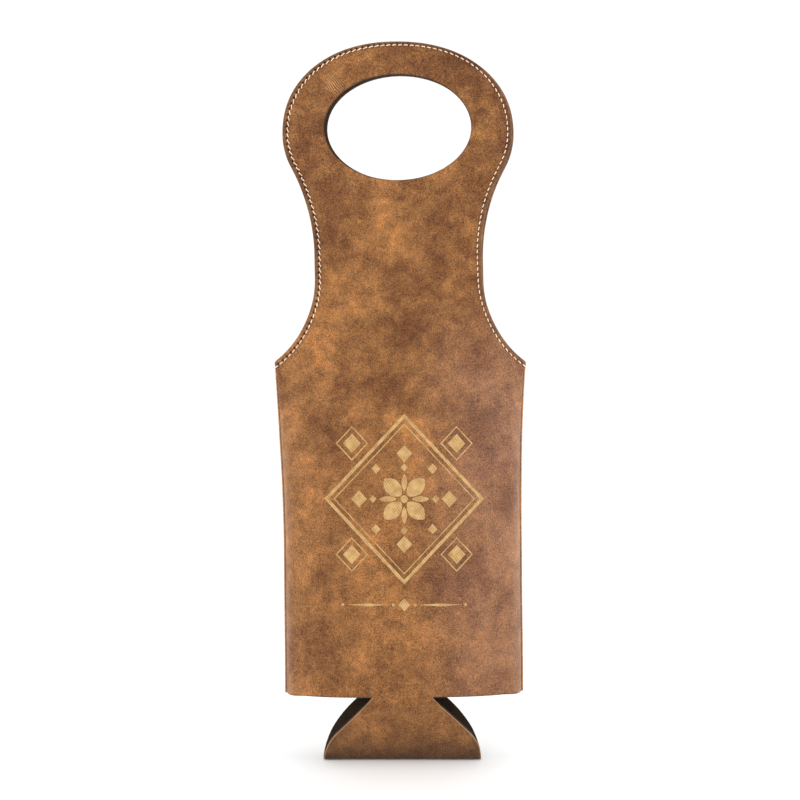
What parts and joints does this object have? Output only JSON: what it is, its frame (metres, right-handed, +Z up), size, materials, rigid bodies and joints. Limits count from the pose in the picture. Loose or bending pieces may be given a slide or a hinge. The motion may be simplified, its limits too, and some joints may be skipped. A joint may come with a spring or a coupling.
{
  "type": "bottle carrier",
  "caption": "Soft upright carrier for one bottle: two sewn panels with curved walls, rounded handles with an oval hand hole, and a folded round base.",
  "frame": {"origin": "middle of the oval hand hole, in the plane of the side seams between the two panels", "axes": "+Z up along the carrier, -Y towards the front panel, +X to the right seen from the front"},
  "size_m": [0.1508, 0.044, 0.4323],
  "materials": {
    "leatherette": "mottled brown leatherette, satin, fine grain",
    "foam": "dark foam sheet",
    "lining": "dark brown woven lining, matt",
    "thread": "cream polyester thread",
    "engraving": "surface burnt back to a tan ground, matt"
  },
  "bodies": {
    "sleeve": {"front_wall_face": "leatherette", "front_wall_foam": "foam", "front_wall_lining": "lining", "rear_wall_face": "leatherette", "rear_wall_foam": "foam", "rear_wall_lining": "lining", "left_seam_allowance": "leatherette", "right_seam_allowance": "leatherette", "left_seam_thread": "thread", "right_seam_thread": "thread", "front_shoulder_stitching": "thread", "rear_shoulder_stitching": "thread"},
    "front_handle": {"front_handle_face": "leatherette", "front_handle_foam": "foam", "front_handle_lining": "lining", "front_handle_stitching": "thread"},
    "rear_handle": {"rear_handle_face": "leatherette", "rear_handle_foam": "foam", "rear_handle_lining": "lining", "rear_handle_stitching": "thread"},
    "base": {"base_face": "leatherette", "base_foam": "foam", "base_lining": "lining"}
  },
  "joints": [
    {"name": "front_handle_bend", "type": "hinge", "parent": "sleeve", "child": "front_handle", "pos_m": [0, -0.0091, -0.11], "axis": [1, 0, 0], "range_deg": [0, 60], "stiffness_Nm_per_rad": 0.08},
    {"name": "rear_handle_bend", "type": "hinge", "parent": "sleeve", "child": "rear_handle", "pos_m": [0, 0.0091, -0.11], "axis": [-1, 0, 0], "range_deg": [0, 60], "stiffness_Nm_per_rad": 0.08},
    {"name": "base_lift", "type": "slide", "parent": "sleeve", "child": "base", "axis": [0, 0, 1], "range_m": [0, 0.0356]}
  ]
}
